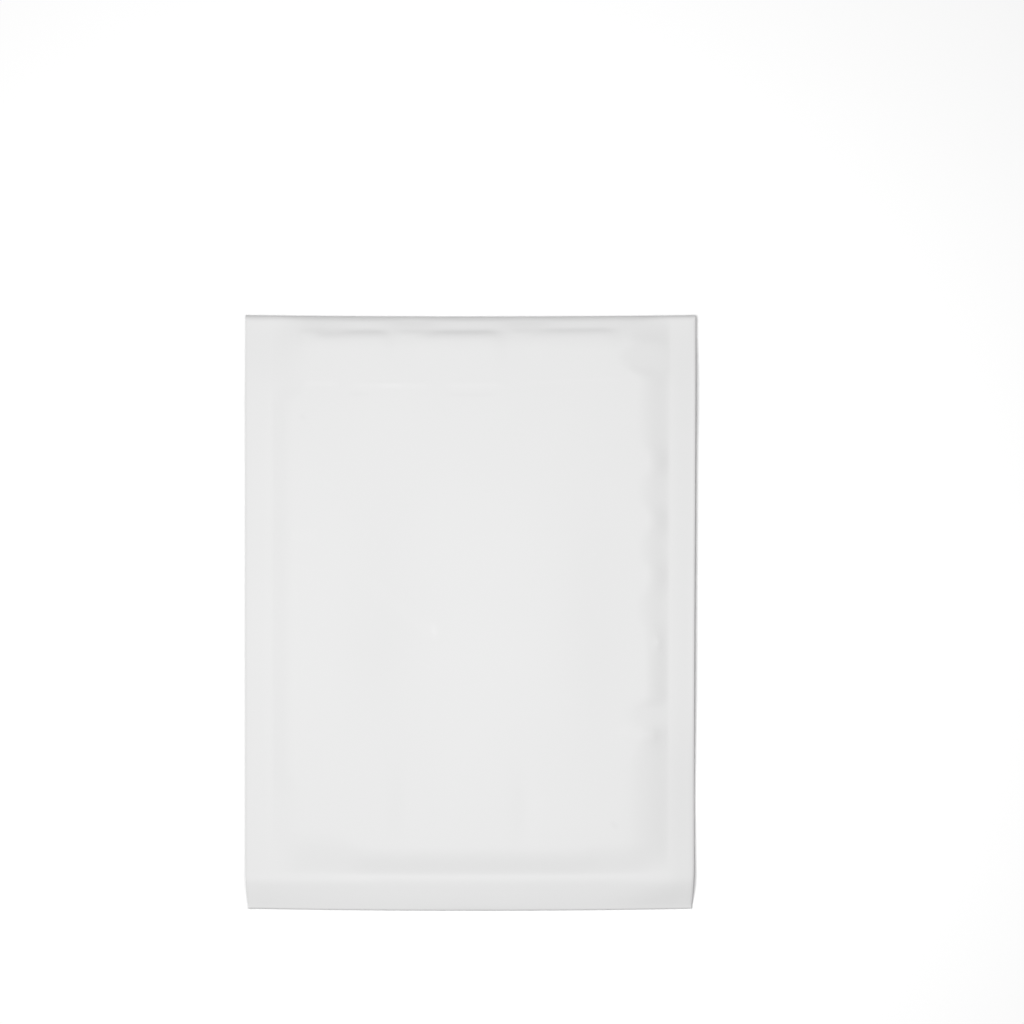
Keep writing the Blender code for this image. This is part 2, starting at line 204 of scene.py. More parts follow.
@dataclass(frozen=True)
class Pucker:
    """A bay in one edge of the padding, where the slope reaches further in.

    Args:
        place: Place along the edge, in millimetres.
        reach: Half length along the edge, in millimetres.
        depth: How far the slope reaches in, in millimetres; less than 0 where it falls short.
        edge: The edge that it is on.
        flat: 1 where the paper spans the slope as a flat facet, 0 where it is rounded.
        sharpness: How abruptly it ends along the edge; 2 is a soft bell.
    """

    place: float
    reach: float
    depth: float
    edge: Edge = Edge.RIGHT
    flat: float = 0.0
    sharpness: float = 6.0

    def presence(self, x: Array, y: Array) -> Array:
        """1 inside the bay and 0 away from it."""
        run_along = x if self.edge is Edge.BOTTOM else y
        along = np.exp(-(np.abs((run_along - self.place * MM) / (self.reach * MM)) ** self.sharpness))
        sides = {Edge.LEFT: x < 0.0, Edge.RIGHT: x >= 0.0, Edge.BOTTOM: True}
        return along * sides[self.edge]


PUCKERS: tuple[Pucker, ...] = (
    # Right side, from the top fold down: wide bays with narrow necks between them
    Pucker(101, 10.5, 5, flat=0.55, sharpness=4.0),
    Pucker(95.5, 5.5, 3.5, flat=0.45, sharpness=4.0),
    Pucker(76, 13, 2.6),
    Pucker(57, 4, -1.6),
    Pucker(46, 6, 2.4),
    Pucker(35, 3.6, -1.6),
    Pucker(24.5, 5.6, 2),
    Pucker(14.5, 3.6, -1.4),
    Pucker(1.5, 6, 2.8),
    Pucker(-23, 11, -0.4),
    Pucker(-38.5, 4.6, 6.5, flat=0.3),
    Pucker(-76, 27, 7),
    # Left side, and the soft lower left corner
    Pucker(100, 17, 9, Edge.LEFT),
    Pucker(-82, 18, 4, Edge.LEFT),
    Pucker(-70, 26, 7, Edge.BOTTOM),
    Pucker(58, 14, 2, Edge.BOTTOM),
)

STEP = CreaseKind.STEP
RELIEF: tuple[Swell | Crease, ...] = (
    # Lens-shaped creases across the rise from the top fold
    Crease((-28, 106.1), (-61, 105.4), 1.6, 0.9, STEP),
    Crease((-31, 106.6), (-48, 106.4), 0.55, 0.26, STEP),
    Crease((14.5, 106.1), (-21, 105.8), 1.7, 1.1, STEP),
    Crease((11, 106.6), (-16, 106.4), 0.55, 0.34, STEP),
    Crease((58, 106.8), (21, 106.5), 1.5, 0.6, STEP),
    Crease((55, 107.2), (26, 107.1), 0.55, 0.24, STEP),
    Crease((-17, 106.9), (-28, 106.5), 0.9, 0.42, STEP),
    Crease((24, 107.2), (15, 107), 0.9, 0.34, STEP),
    Crease((-55.5, 107), (-65, 106.6), 1, 0.26, STEP),
    # The top fold stands up a little
    Swell(0, 110.8, 78, 2.3, 0.34),
    Swell(-42, 110.4, 12, 2, 0.16),
    Swell(40, 110.4, 14, 2, 0.16),
    Swell(-22, 110.4, 9, 1.3, -0.24),
    Swell(21, 110.4, 10, 1.3, -0.24),
    # The pressed line over the end of the liner, and the step beside it at the right
    Crease((-13, 86.5), (-46, 86.6), 0.8, 0.2),
    Crease((-49, 86.6), (-64, 87.2), 0.8, 0.14),
    Crease((14, 86.9), (-9, 86.4), 0.8, 0.16),
    Crease((62, 89), (12, 87.2), 0.8, 0.08),
    Crease((57, 91.4), (76, 88.6), 1.2, 0.12, STEP),
    # Soft swellings of the padding
    Swell(4, -30, 38, 75, 0.3),
    Swell(-52, -66, 15, 26, 0.24),
    Swell(-26, -72, 4, 16, -0.4),
    Swell(0, -70, 14, 26, 0.14),
    Swell(20, -74, 4, 14, -0.35),
    Swell(-56, 58, 9, 20, 0.12),
    # A faint slanting wrinkle and a light streak at the left
    Crease((-40, 12), (-10, -12), 2.4, 0.12),
    Crease((-69, 29.3), (-56, 29.6), 1.6, 0.12),
    # The wrinkle across the padding's right edge, with a light fleck above it
    Crease((56, -45.2), (72, -46), 1.5, 0.34),
    Swell(70.8, -11.4, 1.6, 1.8, 0.34),
)

# Painted light and shade on the front's paper, lighter above 0 and darker below, with a few real grey
# specks; the paper's finish turns them into a change of colour
PAINTED_LIGHT_AND_SPECKS: tuple[Swell | Crease, ...] = (
    # The pressed line over the end of the liner: a painted highlight along it, with thin lines of
    # painted shade below it
    Crease((-13, 86.3), (-46, 86.4), 1.1, 0.28),
    Crease((-26, 86), (-34, 86), 0.6, 0.55),
    Crease((-49, 86.8), (-64, 87.3), 1.1, 0.35),
    Crease((13, 86.6), (-9, 86.2), 1.1, 0.28),
    Crease((62, 89), (13, 87), 1.1, 0.12),
    Crease((-38, 82.7), (-46, 82.7), 0.7, -0.35),
    Crease((10, 82.7), (-9, 82.5), 0.7, -0.35),
    # Painted highlights along the wrinkles and on small bumps, as light streaks and flecks
    Crease((-40, 14), (-12, -10), 2.6, 0.14),
    Crease((-69, 29.3), (-56, 29.6), 1.6, 0.22),
    Swell(-13.5, -6.5, 0.9, 2.2, 0.8),
    Swell(70.8, -11.4, 0.9, 1.2, 1),
    Crease((57.5, -45.6), (71, -46), 0.7, 0.45),
    # Grey specks, and painted shade in the shallow upright folds above the bottom seam
    Swell(-63.2, 73.7, 0.7, 0.7, -0.8),
    Swell(54.6, -80.4, 0.6, 0.6, -0.8),
    Swell(-26, -72, 3.6, 13, -0.18),
    Swell(20, -74, 3.4, 11, -0.14),
    # Broad, faintly darker bands of painted shade either side of the middle
    Swell(-33, -4, 15, 48, -0.4),
    Swell(46, -8, 12, 42, -0.44),
    # Painted highlights along the ridge above the bottom margin and over the margin, and painted shade
    # in the lower corners, most at the right
    Crease((-64, -99.6), (70, -99.8), 1.2, 0.3),
    Crease((-95, -100.8), (-30, -100.8), 1.8, 0.4),
    Crease((-100, -104.8), (95, -104.8), 4.6, 0.42),
    Swell(82, -108.5, 15, 6, -0.6),
    Swell(66, -110.5, 15, 3.2, -0.55),
    Swell(-82, -108.5, 12, 5, -0.35),
    # A painted highlight along the top fold, painted light and shade in patches below it, and a painted
    # highlight along the cut edge at the right
    Crease((-88, 112.5), (88, 112.5), 0.8, 2.2),
    Swell(51, 111.2, 16, 1, 0.8),
    Swell(-80, 111.2, 8, 1, -1.1),
    Swell(62, 108.5, 12, 3.5, 0.45),
    Swell(70, 99, 9, 9, 0.25),
    Crease((84.3, 114), (84.2, -60), 0.5, 1.1),
)

SEAM_SAGS: tuple[Swell, ...] = (
    # The lower right margin sinks, and stands up a little just above its corner
    Swell(88, -70, 15, 27, -1.6),
    Swell(74, -104.5, 14, 6, 0.8),
)


@dataclass
class EnvelopeShape:
    """The folded envelope's outline and the heights of its faces.

    Every height function takes arrays of x and y in metres on the true rectangle.
    """

    paper: float = 0.3 * MM
    clearance: float = 0.3 * MM
    pressed_film: float = 0.4 * MM
    pad_thickness: float = 7.6 * MM
    pad_crown: float = 0.5 * MM
    pad_rise_over_flap: float = 0.7 * MM
    side_seam: float = 9.6 * MM
    side_slope: float = 10.0 * MM
    bottom_seam: float = 13.4 * MM
    bottom_slope: float = 11.0 * MM
    top_slope: float = 13.0 * MM
    top_steepness: float = 1.9
    seam_level: float = 4.6 * MM
    side_droop: float = 0.6 * MM
    bottom_droop: float = 3.45 * MM
    flap_length: float = 47.5 * MM
    ramp_lead: float = 13.0 * MM
    fold_radius: float = 2.0 * MM
    stack: float = 2.1 * MM
    top_dip: float = 0.5 * MM
    bottom_bow: float = 0.8 * MM
    corner_taper: float = 1.0 * MM
    corner_taper_length: float = 18.0 * MM
    warp_reach: float = 60.0 * MM
    right_drift: float = 0.6 * MM
    puckers: tuple[Pucker, ...] = PUCKERS
    relief: tuple[Swell | Crease, ...] = RELIEF
    painted_light_and_specks: tuple[Swell | Crease, ...] = PAINTED_LIGHT_AND_SPECKS
    seam_sags: tuple[Swell, ...] = SEAM_SAGS

    def __post_init__(self) -> None:
        """Take the outside size from the frame's cover."""
        low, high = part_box("paper_cover")
        self.half_width = round((high.x - low.x) / 2.0, 4)
        self.top = round(high.y, 4)
        self.bottom = round(low.y, 4)
        self.seam = 2.0 * (self.paper + self.clearance) + self.pressed_film
        self.fold_y = self.top - self.fold_radius
        self.hem_y = self.bottom + self.seam / 2.0
        self.flap_tip_y = self.top - self.flap_length
        self.liner_low_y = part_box("release_liner")[0].y
        self.ramp_start_y = self.flap_tip_y - self.ramp_lead
        self.pad_half_width = self.half_width - self.side_seam - self.side_slope
        self.pad_low_y = self.bottom + self.bottom_seam + self.bottom_slope
        self.pad_high_y = self.top - self.top_slope

    def over_flap(self, y: Array) -> Array:
        """0 where the back rests on the table, 1 where the folded flap lies beneath it."""
        return ease((y - self.ramp_start_y) / (self.liner_low_y - self.ramp_start_y))

    def near_fold(self, y: Array) -> Array:
        """0 up to where the flap's liner begins, 1 at the top fold."""
        return ease((y - self.liner_low_y) / (self.fold_y - self.liner_low_y))

    def seam_middle(self, x: Array, y: Array) -> Array:
        """Height of the middle of the pressed seams.

        They droop towards their free edges, come down to the top fold, and sink in one corner.
        """
        near = self.near_fold(y)
        side = droop(1.0 - (self.half_width - np.abs(x)) / self.side_seam) * (1.0 - near)
        end = droop(1.0 - (y - self.bottom) / self.bottom_seam)
        level = self.seam_level + self.pad_rise_over_flap * self.over_flap(y)
        level = mix(level, 2.0 * self.fold_radius - self.seam / 2.0, near)
        sag = sum(sag.raise_by(x, y) for sag in self.seam_sags)
        return level - mix(self.side_droop * side - sag, self.bottom_droop, end)

    def fullness(self, x: Array, y: Array, front: bool) -> Array:
        """0 in the pressed seams and 1 over the padding.

        Args:
            x: Places across.
            y: Places along.
            front: True for the front panel, which also rises from the top fold.

        Returns:
            The share of the padding's height at each point.
        """
        side, end, flat = self.side_slope, self.bottom_slope, 0.0
        for pucker in self.puckers if front else ():
            here = pucker.presence(x, y)
            if pucker.edge is Edge.BOTTOM:
                end = end + pucker.depth * MM * here
            else:
                side = side + pucker.depth * MM * here
                flat = flat + pucker.flat * here
        inward = (self.half_width - self.side_seam - np.abs(x)) / side
        share = mix(pillow(inward), np.clip(inward, 0.0, 1.0), flat)
        share = share * pillow((y - self.bottom - self.bottom_seam) / end)
        if front:
            left = np.clip(1.0 - (self.top - y) / self.top_slope, 0.0, 1.0)
            share = share * (1.0 - left**self.top_steepness)
        return share

    def front_level(self, x: Array, y: Array) -> Array:
        """Height of the outer face of the front panel, with its creases and dents."""
        across = np.maximum(0.0, 1.0 - (x / self.pad_half_width) ** 2)
        along = np.maximum(0.0, 1.0 - (y / self.top) ** 2)
        pad = self.pad_thickness + self.pad_rise_over_flap * self.over_flap(y)
        pad = pad + self.pad_crown * across * along
        level = mix(self.seam_middle(x, y) + self.seam / 2.0, pad, self.fullness(x, y, True))
        return level + sum(shape.raise_by(x, y) for shape in self.relief)

    def painted_light_and_speck_tone(self, x: Array, y: Array) -> Array:
        """Painted light on the front's paper, from 0 to 1 where it is lighter, and painted shade and
        grey specks below 0 where it is darker.
        """
        return sum(painted_light_and_speck.raise_by(x, y) for painted_light_and_speck in self.painted_light_and_specks) / MM

    def back_level(self, x: Array, y: Array) -> Array:
        """Height of the outer face of the back panel, flat on the table below the flap."""
        seam = self.seam_middle(x, y) - self.seam / 2.0
        return mix(seam, self.stack * self.over_flap(y), self.fullness(x, y, False))

    def outline(self, x: Array, y: Array) -> tuple[Array, Array]:
        """Move points of the true rectangle to the envelope's slightly uneven outline.

        Args:
            x: Places across.
            y: Places along.

        Returns:
            The moved places.
        """
        taper = np.clip(1.0 - (y - self.bottom) / self.corner_taper_length, 0.0, 1.0)
        half = self.half_width - self.corner_taper * taper**2
        share = (x / self.half_width) ** 2
        dip = self.top_dip * (1.0 - share) * ease(1.0 - (self.top - y) / self.warp_reach)
        bow = self.bottom_bow * share * ease(1.0 - (y - self.bottom) / self.warp_reach)
        drift = self.right_drift * ease((self.top - y) / (1.6 * self.top))
        drift = drift * np.where(x > 0.0, share, 0.0)
        return x * half / self.half_width - drift, y - dip + bow


def deselect() -> None:
    """Leave nothing selected, in object mode."""
    if bpy.context.object is not None and bpy.context.object.mode != "OBJECT":
        bpy.ops.object.mode_set(mode="OBJECT")
    bpy.ops.object.select_all(action="DESELECT")


def pick(obj: Object) -> None:
    """Make one object the only selected one, and the active one."""
    deselect()
    obj.select_set(True)
    bpy.context.view_layer.objects.active = obj


def add_grid(name: str, columns: int, rows: int) -> tuple[Object, Array, Array]:
    """Add a flat grid to be bent into a sheet.

    Args:
        name: The new object's name.
        columns: Lines of points across.
        rows: Lines of points along.

    Returns:
        The object, and each vertex's column and row.
    """
    deselect()
    bpy.ops.mesh.primitive_grid_add(x_subdivisions=columns - 1, y_subdivisions=rows - 1, size=2.0)
    obj = bpy.context.object
    obj.name = obj.data.name = name
    flat = np.empty(len(obj.data.vertices) * 3)
    obj.data.vertices.foreach_get("co", flat)
    flat = flat.reshape(-1, 3)
    column = np.rint((flat[:, 0] + 1.0) / 2.0 * (columns - 1)).astype(int)
    row = np.rint((flat[:, 1] + 1.0) / 2.0 * (rows - 1)).astype(int)
    return obj, column, row


def set_points(obj: Object, x: Array, y: Array, z: Array) -> None:
    """Move every vertex of a mesh to the given place."""
    obj.data.vertices.foreach_set("co", np.stack([x, y, z], axis=1).ravel())
    obj.data.update()


def thicken(obj: Object, thickness: float, offset: float) -> None:
    """Give a sheet its thickness and keep the result as its mesh.

    Args:
        obj: The sheet.
        thickness: Its thickness.
        offset: -1 to thicken it against its normals, 0 to thicken it on both sides.
    """
    pick(obj)
    solidify = obj.modifiers.new("Thickness", "SOLIDIFY")
    solidify.thickness = thickness
    solidify.offset = offset
    solidify.use_even_offset = True
    bpy.ops.object.modifier_apply(modifier=solidify.name)


def finish_piece(obj: Object, material: Material, slot: str, *nodes: str) -> None:
    """Shade a piece, give it its finish and let it ride and stand for its nodes.

    Args:
        obj: The finished piece.
        material: Its finish.
        slot: Name of a material slot; not used.
        nodes: The frame's nodes that it replaces.
    """
    pick(obj)
    bpy.ops.object.shade_smooth_by_angle(angle=SMOOTH_ANGLE)
    obj.data.materials.clear()
    obj.data.materials.append(material)
    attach(obj, BODY)
    if nodes:
        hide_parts(*nodes)
    LOG.info("%s: %d faces", obj.name, len(obj.data.polygons))


class NodeBoard:
    """A small helper that adds and links the nodes of one tree."""

    def __init__(self, tree: bpy.types.NodeTree) -> None:
        """Work on this tree."""
        self.tree = tree

    def give(self, target: Socket, value: object) -> None:
        """Give an input its value, or link it where the value is a node's output."""
        if isinstance(value, Socket):
            self.tree.links.new(value, target)
        else:
            target.default_value = value

    def fill(self, node: bpy.types.Node, **settings: object) -> bpy.types.Node:
        """Set up a node.

        Args:
            node: The node.
            settings: Attributes to set; a name that isn't an attribute is an input's name, with
                underscores for spaces, and its value is a number, a vector or a node's output.

        Returns:
            The same node.
        """
        for name, value in settings.items():
            if hasattr(node, name):
                setattr(node, name, value)
            else:
                self.give(node.inputs[name.replace("_", " ")], value)
        return node

    def add(self, kind: str, **settings: object) -> bpy.types.Node:
        """Add a node of this kind and fill it."""
        return self.fill(self.tree.nodes.new(kind), **settings)

    def math(self, operation: str, *values: Socket | float) -> Socket:
        """Add a Math node.

        Args:
            operation: The node's operation.
            values: A socket or a number for each input that it uses.

        Returns:
            The node's output.
        """
        node = self.add("ShaderNodeMath", operation=operation)
        for index, value in enumerate(values):
            self.give(node.inputs[index], value)
        return node.outputs[0]

    def axes(self, vector: Socket) -> tuple[Socket, Socket, Socket]:
        """Split a vector into its three numbers."""
        return tuple(self.add("ShaderNodeSeparateXYZ", Vector=vector).outputs)

    def ink_over(self, colour: Socket, mask: Socket, ink: Colour) -> Socket:
        """Lay an even ink over a colour where a mask is 1."""
        over = self.add("ShaderNodeMix", data_type="RGBA", Factor=mask, A=colour, B=(*ink, 1.0))
        return over.outputs["Result"]

    def box_distance(self, x: Socket, y: Socket, centre: Pair, half: Pair, corner: float) -> Socket:
        """Signed distance to a rounded box, from two coordinates.

        Args:
            x: Coordinate across.
            y: Coordinate along.
            centre: The box's centre.
            half: Its half width and half height.
            corner: Its corner radius.

        Returns:
            The distance, negative inside.
        """
        sides = []
        for axis, middle, size in ((x, centre[0], half[0]), (y, centre[1], half[1])):
            away = self.math("ABSOLUTE", self.math("SUBTRACT", axis, middle))
            sides.append(self.math("SUBTRACT", away, size - corner))
        outside = [self.math("MAXIMUM", side, 0.0) for side in sides]
        squares = [self.math("MULTIPLY", side, side) for side in outside]
        reach = self.math("SQRT", self.math("ADD", *squares))
        inside = self.math("MINIMUM", self.math("MAXIMUM", *sides), 0.0)
        return self.math("SUBTRACT", self.math("ADD", reach, inside), corner)


def start_material(name: str) -> tuple[Material, NodeBoard, bpy.types.Node]:
    """Start a material of this name, and return it with its board and its shader."""
    material = bpy.data.materials.new(name)
    material.use_nodes = True
    return material, NodeBoard(material.node_tree), material.node_tree.nodes["Principled BSDF"]


def paper_stock_group() -> bpy.types.NodeTree:
    """Fibre, cloudiness and flecks of paper, shared by the cover and the release liner.

    Returns:
        The node group, with outputs Tone from -1 to 1, Fleck from 0 to 1, and Height.
    """
    tree = bpy.data.node_groups.new("Paper stock", "ShaderNodeTree")
    tree.interface.new_socket(name="Vector", in_out="INPUT", socket_type="NodeSocketVector")
    for label in ("Tone", "Fleck", "Height"):
        tree.interface.new_socket(name=label, in_out="OUTPUT", socket_type="NodeSocketFloat")
    board = NodeBoard(tree)
    place = board.add("NodeGroupInput").outputs["Vector"]
    grain = board.add("ShaderNodeMapping", Vector=place, Rotation=GRAIN_TURN, Scale=GRAIN_SCALE)
    grain_place = grain.outputs["Vector"]
    fibre = board.add("ShaderNodeTexNoise", Vector=grain_place, Scale=1.0, Detail=4.0, Roughness=0.62)
    cloud = board.add("ShaderNodeTexNoise", Vector=place, Scale=34.0, Detail=3.0, Roughness=0.5)
    fibre_tone = board.math("MULTIPLY_ADD", fibre.outputs["Fac"], 1.1, -0.55)
    cloud_tone = board.math("MULTIPLY_ADD", cloud.outputs["Fac"], 2.2, -1.1)
    spots = board.add("ShaderNodeTexVoronoi", Vector=place, Scale=92.0, Randomness=1.0)
    near = board.math("LESS_THAN", spots.outputs["Distance"], 0.035)
    rare = board.math("GREATER_THAN", board.axes(spots.outputs["Color"])[0], 0.965)
    board.add(
        "NodeGroupOutput",
        Tone=board.math("ADD", fibre_tone, cloud_tone),
        Fleck=board.math("MULTIPLY", near, rare),
        Height=fibre.outputs["Fac"],
    )
    return tree


@dataclass(frozen=True)
class PaperFinish:
    """White or siliconed paper, with printed bars and frames where it has any.

    Args:
        name: The material's name.
        colour: Linear colour.
        roughness: Middle roughness.
        tone_depth: How far the cloudiness changes the colour.
        bump: Bump strength of the fibre.
        printed: Whether the back's printing is on it.
        painted_light_and_speck_depth: How much lighter full painted light makes it, and darker full
            painted shade and specks.
        bar_ink: Colour of the printed bar.
        frame_ink: Colour of the printed frame.
        print_height: The printing lies lower than this, on the underside.
        bar: Centre and half size of the printed bar.
        ring: Centre and half size of the printed frame.
        ring_corner: Corner radius of the frame.
        ring_line: Half width of the frame's line.
    """

    name: str
    colour: Colour
    roughness: float
    tone_depth: float
    bump: float
    printed: bool = False
    painted_light_and_speck_depth: float = 0.0
    bar_ink: Colour = (0.125, 0.125, 0.125)
    frame_ink: Colour = (0.03, 0.03, 0.03)
    print_height: float = 4.6 * MM
    bar: tuple[Pair, Pair] = ((-82.6 * MM, -104.2 * MM), (1.8 * MM, 7.4 * MM))
    ring: tuple[Pair, Pair] = ((-41.0 * MM, -81.0 * MM), (22.0 * MM, 10.5 * MM))
    ring_corner: float = 2.4 * MM
    ring_line: float = 0.28 * MM

    def print_masks(self, board: NodeBoard, place: Socket) -> tuple[Socket, Socket]:
        """The printed bar and rounded frame on the underside.

        Args:
            board: The material's nodes.
            place: Object coordinates.

        Returns:
            The masks of the bar and of the frame's line.
        """
        x, y, z = board.axes(place)
        facing = board.axes(board.add("ShaderNodeNewGeometry").outputs["Normal"])
        below = board.math("LESS_THAN", z, self.print_height)
        under = board.math("MULTIPLY", below, board.math("LESS_THAN", y, 0.0))
        under = board.math("MULTIPLY", under, board.math("LESS_THAN", facing[2], -0.2))
        bar = board.box_distance(x, y, *self.bar, 0.1 * MM)
        ring = board.box_distance(x, y, *self.ring, self.ring_corner)
        filled = board.math("LESS_THAN", bar, 0.0)
        line = board.math("LESS_THAN", board.math("ABSOLUTE", ring), self.ring_line)
        return board.math("MULTIPLY", filled, under), board.math("MULTIPLY", line, under)

    def build(self, stock: bpy.types.NodeTree) -> Material:
        """Make the material.

        Args:
            stock: The shared paper group.

        Returns:
            The new material.
        """
        material, board, shader = start_material(self.name)
        place = board.add("ShaderNodeTexCoord").outputs["Object"]
        group = board.add("ShaderNodeGroup", node_tree=stock, Vector=place)
        tone = board.math("MULTIPLY_ADD", group.outputs["Tone"], self.tone_depth, 1.0)
        tone = board.math("MULTIPLY_ADD", group.outputs["Fleck"], -0.05, tone)
        # Painted light and shade, with the grey specks, lighten and darken the paper's colour from the
        # cover's attribute
        if self.painted_light_and_speck_depth > 0.0:
            painted_light_and_speck = board.add("ShaderNodeAttribute", attribute_name="painted_light_and_speck")
            tone = board.math("MULTIPLY_ADD", painted_light_and_speck.outputs["Fac"], self.painted_light_and_speck_depth, tone)
        scaled = board.add("ShaderNodeVectorMath", operation="SCALE", Vector=self.colour, Scale=tone)
        colour = scaled.outputs[0]
        if self.printed:
            for mask, ink in zip(self.print_masks(board, place), (self.bar_ink, self.frame_ink)):
                colour = board.ink_over(colour, mask, ink)
        height = group.outputs["Height"]
        bump = board.add("ShaderNodeBump", Strength=self.bump, Distance=0.03 * MM, Height=height)
        board.fill(
            shader,
            Base_Color=colour,
            Roughness=board.math("MULTIPLY_ADD", height, 0.12, self.roughness - 0.06),
            Specular_IOR_Level=0.3,
            Normal=bump.outputs["Normal"],
        )
        return material


@dataclass(frozen=True)
class FilmFinish:
    """Clear or printed plastic film.

    Args:
        name: The material's name.
        colour: Linear colour.
        roughness: Middle roughness.
        clear: Share of the light that passes through.
        ripple: Bump strength of the fine ripples.
        marks_y: Where its row of printed marks lies; 0 where it has none.
        marks_pitch: From one mark to the next.
        mark_half: Half size of a mark.
        mark_ink: Colour of the marks.
    """

    name: str
    colour: Colour
    roughness: float
    clear: float
    ripple: float
    marks_y: float = 0.0
    marks_pitch: float = 43.0 * MM
    mark_half: Pair = (11.7 * MM, 1.65 * MM)
    mark_ink: Colour = (0.35, 0.37, 0.40)

    def marks_mask(self, board: NodeBoard, place: Socket) -> Socket:
        """Plain rounded marks in a row across the envelope."""
        x, y, _ = board.axes(place)
        across = board.math("PINGPONG", x, self.marks_pitch / 2.0)
        mark = board.box_distance(across, y, (0.0, self.marks_y), self.mark_half, 0.6 * MM)
        return board.math("LESS_THAN", mark, 0.0)

    def build(self) -> Material:
        """Make the material.

        Returns:
            The new material.
        """
        material, board, shader = start_material(self.name)
        place = board.add("ShaderNodeTexCoord").outputs["Object"]
        noise = board.add("ShaderNodeTexNoise", Vector=place, Scale=420.0, Detail=3.0, Roughness=0.55)
        height = noise.outputs["Fac"]
        dark = (*(0.96 * part for part in self.colour), 1.0)
        light = (*(min(1.0, 1.04 * part) for part in self.colour), 1.0)
        ramp = board.add("ShaderNodeMix", data_type="RGBA", Factor=height, A=dark, B=light)
        colour = ramp.outputs["Result"]
        if self.marks_y > 0.0:
            colour = board.ink_over(colour, self.marks_mask(board, place), self.mark_ink)
        bump = board.add("ShaderNodeBump", Strength=self.ripple, Distance=0.08 * MM, Height=height)
        board.fill(
            shader,
            Base_Color=colour,
            Roughness=board.math("MULTIPLY_ADD", height, 0.16, self.roughness - 0.08),
            Transmission_Weight=self.clear,
            IOR=1.5,
            Normal=bump.outputs["Normal"],
        )
        return material


